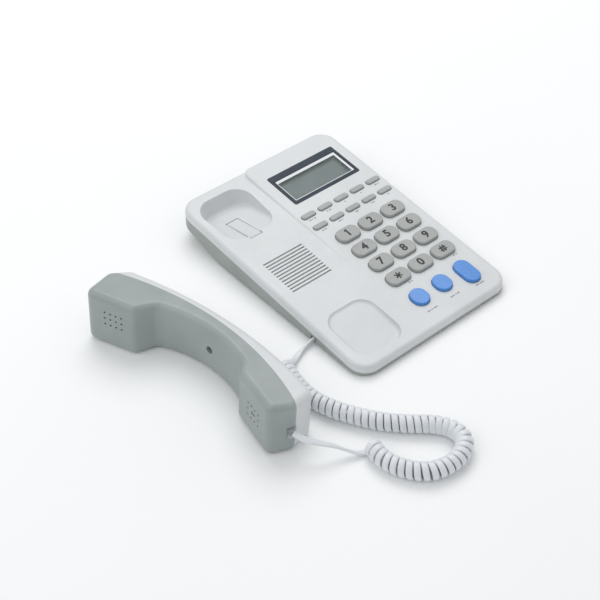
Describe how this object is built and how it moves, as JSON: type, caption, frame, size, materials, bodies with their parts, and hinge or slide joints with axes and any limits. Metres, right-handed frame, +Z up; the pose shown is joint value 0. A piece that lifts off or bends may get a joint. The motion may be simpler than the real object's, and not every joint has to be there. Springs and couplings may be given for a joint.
{
  "type": "corded desk telephone",
  "caption": "Desk telephone with a sloping keypad base, clock and number display, hands-free speaker, and a handset on a curly cord lying beside it.",
  "frame": {"origin": "centre of the base's footprint, on the surface it stands on", "axes": "+Z up, -Y to the side the user sits at, +X to the key side of the base"},
  "size_m": [0.2599, 0.3022, 0.0428],
  "materials": {
    "light_shell": "fine moulded texture, light warm grey",
    "grey_case": "fine moulded texture, mid grey",
    "handset_grey": "fine moulded texture, mid grey",
    "blue_key": "smooth satin blue",
    "grey_key": "smooth satin grey with printed marks",
    "display_frame": "glossy dark frame",
    "display_lens": "clear moulded window",
    "display_glass": "grey-green liquid crystal panel",
    "rubber": "soft dark rubber",
    "circuit_board": "green solder mask",
    "black_plastic": "plain black moulding",
    "steel": "zinc plated steel",
    "battery_can": "printed metal can",
    "plug_clear": "clear modular plug",
    "cord_jacket": "smooth light grey flexible jacket"
  },
  "bodies": {
    "base": {"base_plug": "plug_clear", "batteries": "battery_can", "battery_contacts": "steel", "bottom_case": "grey_case", "case_screws": "steel", "cord_coil": "cord_jacket", "cord_tail_base": "cord_jacket", "cord_tail_handset": "cord_jacket", "display_bezel": "display_frame", "display_lens": "display_lens", "hands_free_microphone": "black_plastic", "hands_free_speaker": "black_plastic", "handset_jack": "black_plastic", "hook_spring": "steel", "hook_switch": "black_plastic", "keypad_board": "circuit_board", "keypad_mat": "rubber", "lcd_glass": "display_glass", "lcd_holder": "light_shell", "line_jack": "black_plastic", "main_board": "circuit_board", "rubber_feet": "rubber", "top_case": "light_shell"},
    "handset": {"handset_end_jack": "black_plastic", "handset_inner": "handset_grey", "handset_microphone": "black_plastic", "handset_outer": "light_shell", "handset_plug": "plug_clear", "handset_screw": "steel", "handset_weight": "steel", "receiver_capsule": "black_plastic"},
    "flash_key": {"flash_key": "blue_key"},
    "function_key_alarm": {"function_key_alarm": "grey_key"},
    "function_key_call": {"function_key_call": "grey_key"},
    "function_key_delete": {"function_key_delete": "grey_key"},
    "function_key_down": {"function_key_down": "grey_key"},
    "function_key_lock": {"function_key_lock": "grey_key"},
    "function_key_mute": {"function_key_mute": "grey_key"},
    "function_key_pause": {"function_key_pause": "grey_key"},
    "function_key_program": {"function_key_program": "grey_key"},
    "function_key_store": {"function_key_store": "grey_key"},
    "function_key_up": {"function_key_up": "grey_key"},
    "hands_free_key": {"hands_free_key": "blue_key"},
    "key_0": {"key_0": "grey_key"},
    "key_1": {"key_1": "grey_key"},
    "key_2": {"key_2": "grey_key"},
    "key_3": {"key_3": "grey_key"},
    "key_4": {"key_4": "grey_key"},
    "key_5": {"key_5": "grey_key"},
    "key_6": {"key_6": "grey_key"},
    "key_7": {"key_7": "grey_key"},
    "key_8": {"key_8": "grey_key"},
    "key_9": {"key_9": "grey_key"},
    "key_hash": {"key_hash": "grey_key"},
    "key_star": {"key_star": "grey_key"},
    "redial_key": {"redial_key": "blue_key"},
    "hook_lever": {"hook_lever": "light_shell"},
    "battery_door": {"battery_door": "grey_case"},
    "ringer_switch": {"ringer_switch": "grey_case"}
  },
  "joints": [
    {"name": "flash_key_press", "type": "slide", "parent": "base", "child": "flash_key", "axis": [0, -0.0976, 0.9952], "range_m": [-0.001, 0], "stiffness_N_per_m": 300, "springref_m": 0.0005, "deforming": ["keypad_mat"]},
    {"name": "function_key_alarm_press", "type": "slide", "parent": "base", "child": "function_key_alarm", "axis": [0, -0.0976, 0.9952], "range_m": [-0.001, 0], "stiffness_N_per_m": 300, "springref_m": 0.0005, "deforming": ["keypad_mat"]},
    {"name": "function_key_call_press", "type": "slide", "parent": "base", "child": "function_key_call", "axis": [0, -0.0976, 0.9952], "range_m": [-0.001, 0], "stiffness_N_per_m": 300, "springref_m": 0.0005, "deforming": ["keypad_mat"]},
    {"name": "function_key_delete_press", "type": "slide", "parent": "base", "child": "function_key_delete", "axis": [0, -0.0976, 0.9952], "range_m": [-0.001, 0], "stiffness_N_per_m": 300, "springref_m": 0.0005, "deforming": ["keypad_mat"]},
    {"name": "function_key_down_press", "type": "slide", "parent": "base", "child": "function_key_down", "axis": [0, -0.0976, 0.9952], "range_m": [-0.001, 0], "stiffness_N_per_m": 300, "springref_m": 0.0005, "deforming": ["keypad_mat"]},
    {"name": "function_key_lock_press", "type": "slide", "parent": "base", "child": "function_key_lock", "axis": [0, -0.0976, 0.9952], "range_m": [-0.001, 0], "stiffness_N_per_m": 300, "springref_m": 0.0005, "deforming": ["keypad_mat"]},
    {"name": "function_key_mute_press", "type": "slide", "parent": "base", "child": "function_key_mute", "axis": [0, -0.0976, 0.9952], "range_m": [-0.001, 0], "stiffness_N_per_m": 300, "springref_m": 0.0005, "deforming": ["keypad_mat"]},
    {"name": "function_key_pause_press", "type": "slide", "parent": "base", "child": "function_key_pause", "axis": [0, -0.0976, 0.9952], "range_m": [-0.001, 0], "stiffness_N_per_m": 300, "springref_m": 0.0005, "deforming": ["keypad_mat"]},
    {"name": "function_key_program_press", "type": "slide", "parent": "base", "child": "function_key_program", "axis": [0, -0.0976, 0.9952], "range_m": [-0.001, 0], "stiffness_N_per_m": 300, "springref_m": 0.0005, "deforming": ["keypad_mat"]},
    {"name": "function_key_store_press", "type": "slide", "parent": "base", "child": "function_key_store", "axis": [0, -0.0976, 0.9952], "range_m": [-0.001, 0], "stiffness_N_per_m": 300, "springref_m": 0.0005, "deforming": ["keypad_mat"]},
    {"name": "function_key_up_press", "type": "slide", "parent": "base", "child": "function_key_up", "axis": [0, -0.0976, 0.9952], "range_m": [-0.001, 0], "stiffness_N_per_m": 300, "springref_m": 0.0005, "deforming": ["keypad_mat"]},
    {"name": "hands_free_key_press", "type": "slide", "parent": "base", "child": "hands_free_key", "axis": [0, -0.0976, 0.9952], "range_m": [-0.001, 0], "stiffness_N_per_m": 300, "springref_m": 0.0005, "deforming": ["keypad_mat"]},
    {"name": "key_0_press", "type": "slide", "parent": "base", "child": "key_0", "axis": [0, -0.0976, 0.9952], "range_m": [-0.001, 0], "stiffness_N_per_m": 300, "springref_m": 0.0005, "deforming": ["keypad_mat"]},
    {"name": "key_1_press", "type": "slide", "parent": "base", "child": "key_1", "axis": [0, -0.0976, 0.9952], "range_m": [-0.001, 0], "stiffness_N_per_m": 300, "springref_m": 0.0005, "deforming": ["keypad_mat"]},
    {"name": "key_2_press", "type": "slide", "parent": "base", "child": "key_2", "axis": [0, -0.0976, 0.9952], "range_m": [-0.001, 0], "stiffness_N_per_m": 300, "springref_m": 0.0005, "deforming": ["keypad_mat"]},
    {"name": "key_3_press", "type": "slide", "parent": "base", "child": "key_3", "axis": [0, -0.0976, 0.9952], "range_m": [-0.001, 0], "stiffness_N_per_m": 300, "springref_m": 0.0005, "deforming": ["keypad_mat"]},
    {"name": "key_4_press", "type": "slide", "parent": "base", "child": "key_4", "axis": [0, -0.0976, 0.9952], "range_m": [-0.001, 0], "stiffness_N_per_m": 300, "springref_m": 0.0005, "deforming": ["keypad_mat"]},
    {"name": "key_5_press", "type": "slide", "parent": "base", "child": "key_5", "axis": [0, -0.0976, 0.9952], "range_m": [-0.001, 0], "stiffness_N_per_m": 300, "springref_m": 0.0005, "deforming": ["keypad_mat"]},
    {"name": "key_6_press", "type": "slide", "parent": "base", "child": "key_6", "axis": [0, -0.0976, 0.9952], "range_m": [-0.001, 0], "stiffness_N_per_m": 300, "springref_m": 0.0005, "deforming": ["keypad_mat"]},
    {"name": "key_7_press", "type": "slide", "parent": "base", "child": "key_7", "axis": [0, -0.0976, 0.9952], "range_m": [-0.001, 0], "stiffness_N_per_m": 300, "springref_m": 0.0005, "deforming": ["keypad_mat"]},
    {"name": "key_8_press", "type": "slide", "parent": "base", "child": "key_8", "axis": [0, -0.0976, 0.9952], "range_m": [-0.001, 0], "stiffness_N_per_m": 300, "springref_m": 0.0005, "deforming": ["keypad_mat"]},
    {"name": "key_9_press", "type": "slide", "parent": "base", "child": "key_9", "axis": [0, -0.0976, 0.9952], "range_m": [-0.001, 0], "stiffness_N_per_m": 300, "springref_m": 0.0005, "deforming": ["keypad_mat"]},
    {"name": "key_hash_press", "type": "slide", "parent": "base", "child": "key_hash", "axis": [0, -0.0976, 0.9952], "range_m": [-0.001, 0], "stiffness_N_per_m": 300, "springref_m": 0.0005, "deforming": ["keypad_mat"]},
    {"name": "key_star_press", "type": "slide", "parent": "base", "child": "key_star", "axis": [0, -0.0976, 0.9952], "range_m": [-0.001, 0], "stiffness_N_per_m": 300, "springref_m": 0.0005, "deforming": ["keypad_mat"]},
    {"name": "redial_key_press", "type": "slide", "parent": "base", "child": "redial_key", "axis": [0, -0.0976, 0.9952], "range_m": [-0.001, 0], "stiffness_N_per_m": 300, "springref_m": 0.0005, "deforming": ["keypad_mat"]},
    {"name": "hook_press", "type": "hinge", "parent": "base", "child": "hook_lever", "pos_m": [-0.0457, 0.069, 0.014], "axis": [1, 0, 0], "range_deg": [0, 10], "stiffness_Nm_per_rad": 0.06, "springref_deg": -11.46, "deforming": ["hook_spring"]},
    {"name": "battery_door_slide", "type": "slide", "parent": "base", "child": "battery_door", "axis": [0, 1, 0], "range_m": [0, 0.03]},
    {"name": "ringer_switch_slide", "type": "slide", "parent": "base", "child": "ringer_switch", "axis": [0, 1, 0], "range_m": [-0.002, 0.002]},
    {"name": "handset_lift", "type": "slide", "parent": "base", "child": "handset", "axis": [0, 0, 1], "range_m": [0, 0.06]}
  ]
}
